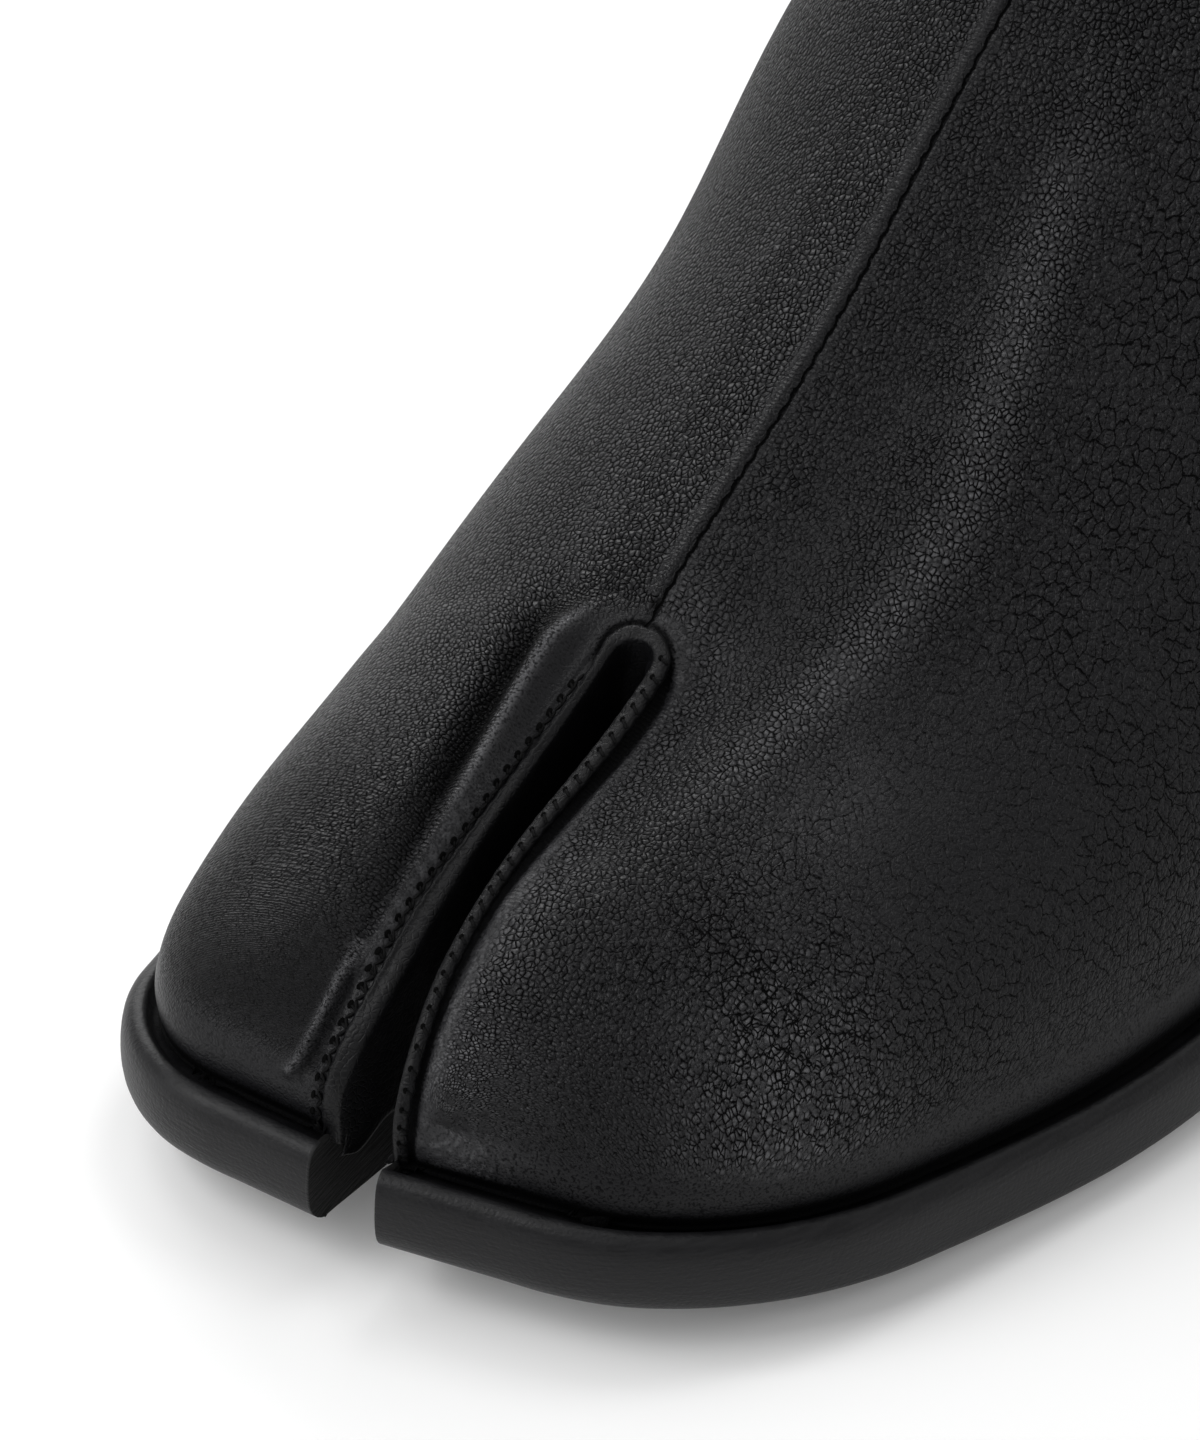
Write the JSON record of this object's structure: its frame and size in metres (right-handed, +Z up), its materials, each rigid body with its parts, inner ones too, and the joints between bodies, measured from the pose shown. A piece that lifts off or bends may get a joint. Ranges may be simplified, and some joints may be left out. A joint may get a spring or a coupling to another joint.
{
  "type": "tabi slip-on shoe",
  "caption": "Left split-toe slip-on shoe: hollow leather upper with a front seam, on a split-toe outsole with a low heel and an insole.",
  "frame": {"origin": "on the floor, at the middle of the outsole's plan", "axes": "+X towards the lateral side, +Y towards the heel, +Z up"},
  "size_m": [0.0964, 0.276, 0.0826],
  "materials": {
    "upper_leather": "satin black leather with a fine pebbled and crackled grain",
    "outsole": "smooth black edge dressing, rough on the cut faces of the slot",
    "heel": "satin black",
    "insole": "matt black lining leather"
  },
  "bodies": {
    "root": {"upper": "upper_leather", "outsole": "outsole", "heel": "heel", "insole": "insole"}
  },
  "joints": []
}
